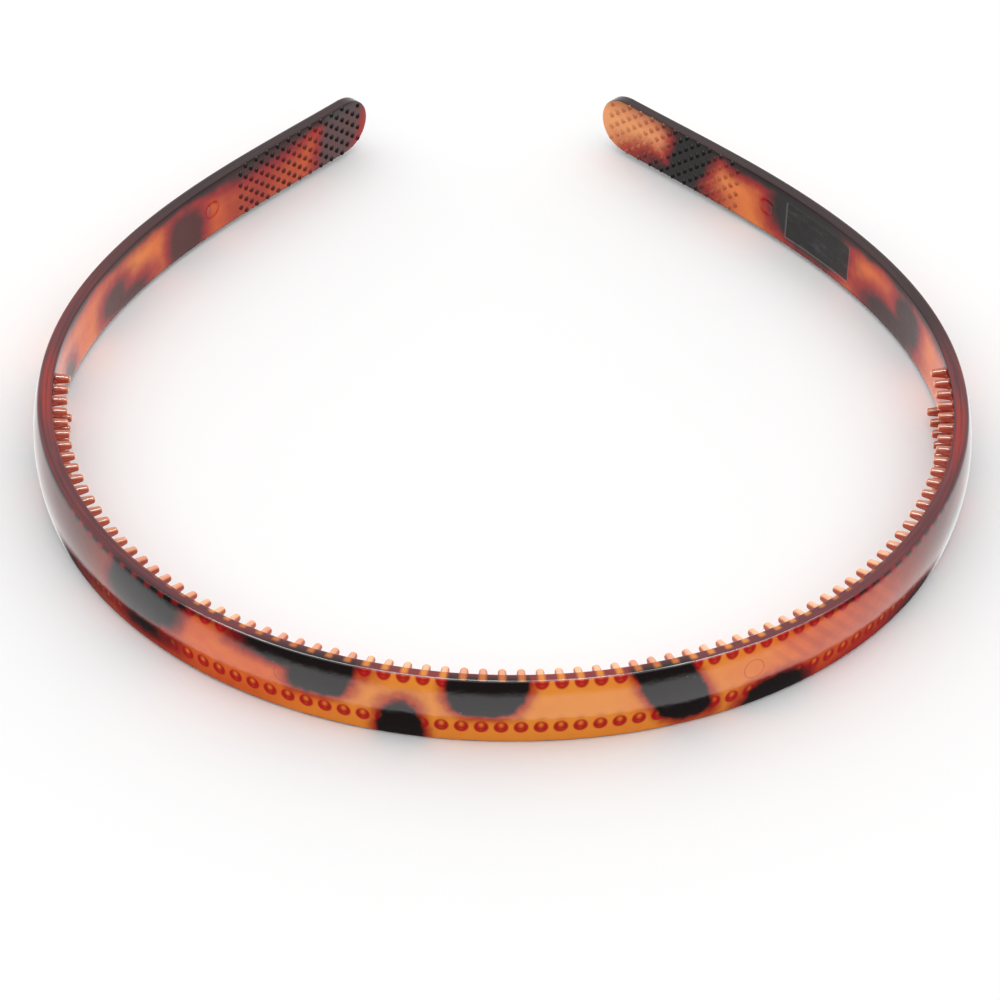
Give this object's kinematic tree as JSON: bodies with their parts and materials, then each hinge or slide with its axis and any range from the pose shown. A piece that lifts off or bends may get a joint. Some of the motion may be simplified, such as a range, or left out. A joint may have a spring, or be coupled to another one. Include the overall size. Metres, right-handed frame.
{
  "type": "headband",
  "caption": "Slim springy U-shaped headband in glossy mottled plastic, with two rows of short comb teeth inside the crown and dotted grips inside the tips.",
  "frame": {"origin": "in the plane that the band's lower edge rests on, under the middle of the band's bounding box", "axes": "+Y from the crown of the head to the open tips, +X to the right-hand side seen from above with the crown nearest, +Z across the band's width"},
  "size_m": [0.1294, 0.1342, 0.0105],
  "materials": {
    "band_plastic": "glossy translucent amber plastic with black-brown blotches",
    "comb_plastic": "glossy translucent orange plastic",
    "grip_plastic": "glossy mottled plastic with small raised dots"
  },
  "bodies": {
    "crown": {"crown_band": "band_plastic", "crown_upper_comb": "comb_plastic", "crown_lower_comb": "comb_plastic"},
    "right_shoulder": {"right_shoulder_band": "band_plastic", "right_shoulder_upper_comb": "comb_plastic", "right_shoulder_lower_comb": "comb_plastic"},
    "right_temple": {"right_temple_band": "band_plastic", "right_temple_upper_comb": "comb_plastic", "right_temple_lower_comb": "comb_plastic"},
    "right_arm": {"right_arm_band": "band_plastic", "right_tip_grip": "grip_plastic"},
    "left_shoulder": {"left_shoulder_band": "band_plastic", "left_shoulder_upper_comb": "comb_plastic", "left_shoulder_lower_comb": "comb_plastic"},
    "left_temple": {"left_temple_band": "band_plastic", "left_temple_upper_comb": "comb_plastic", "left_temple_lower_comb": "comb_plastic"},
    "left_arm": {"left_arm_band": "band_plastic", "left_tip_grip": "grip_plastic"}
  },
  "joints": [
    {"name": "right_crown_flex", "type": "hinge", "parent": "crown", "child": "right_shoulder", "pos_m": [0.02118, -0.06277, 0.00525], "axis": [0, 0, -1], "range_deg": [-3.8, 8.5], "stiffness_Nm_per_rad": 0.5},
    {"name": "right_shoulder_flex", "type": "hinge", "parent": "right_shoulder", "child": "right_temple", "pos_m": [0.05326, -0.03902, 0.00525], "axis": [0, 0, -1], "range_deg": [-2.98, 6.59], "stiffness_Nm_per_rad": 0.8},
    {"name": "right_temple_flex", "type": "hinge", "parent": "right_temple", "child": "right_arm", "pos_m": [0.06281, 0.00155, 0.00525], "axis": [0, 0, -1], "range_deg": [-2.41, 5.32], "stiffness_Nm_per_rad": 0.5},
    {"name": "left_crown_flex", "type": "hinge", "parent": "crown", "child": "left_shoulder", "pos_m": [-0.02118, -0.06277, 0.00525], "axis": [0, 0, 1], "range_deg": [-3.8, 8.5], "stiffness_Nm_per_rad": 0.5},
    {"name": "left_shoulder_flex", "type": "hinge", "parent": "left_shoulder", "child": "left_temple", "pos_m": [-0.05326, -0.03902, 0.00525], "axis": [0, 0, 1], "range_deg": [-2.98, 6.59], "stiffness_Nm_per_rad": 0.8},
    {"name": "left_temple_flex", "type": "hinge", "parent": "left_temple", "child": "left_arm", "pos_m": [-0.06281, 0.00155, 0.00525], "axis": [0, 0, 1], "range_deg": [-2.41, 5.32], "stiffness_Nm_per_rad": 0.5}
  ],
  "couplings": [
    {"joint": "right_shoulder_flex", "follows": "right_crown_flex", "ratio": 0.77},
    {"joint": "right_temple_flex", "follows": "right_crown_flex", "ratio": 0.62},
    {"joint": "left_shoulder_flex", "follows": "left_crown_flex", "ratio": 0.77},
    {"joint": "left_temple_flex", "follows": "left_crown_flex", "ratio": 0.62}
  ]
}
